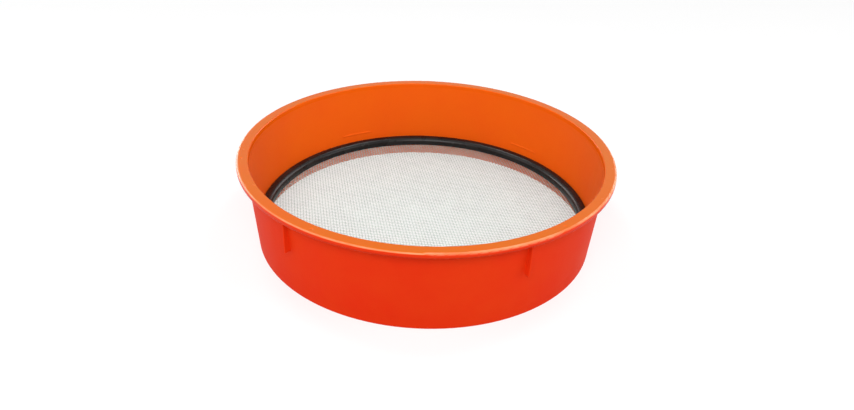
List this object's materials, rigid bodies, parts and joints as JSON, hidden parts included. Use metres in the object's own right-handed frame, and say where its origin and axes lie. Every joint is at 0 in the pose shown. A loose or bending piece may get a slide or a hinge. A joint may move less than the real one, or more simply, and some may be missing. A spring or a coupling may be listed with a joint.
{
  "type": "round hand sieve",
  "caption": "Round sieve: a tapered plastic frame with a flanged rim, a disc of woven wire and a ring that holds the wire down.",
  "frame": {"origin": "centre of the frame's foot, on the plane that the sieve stands on", "axes": "+Z along the sieve's axis towards the rim; +X and +Y are level, and the first stacking fin is 59.9 degrees clockwise from +X seen from above"},
  "size_m": [0.4, 0.4, 0.0955],
  "materials": {
    "orange_plastic": "moulded, satin gloss",
    "steel_wire": "drawn wire, bright",
    "black_plastic": "moulded, satin"
  },
  "bodies": {
    "root": {"sieve_frame": "orange_plastic", "wire_mesh": "steel_wire", "retaining_ring": "black_plastic"}
  },
  "joints": []
}
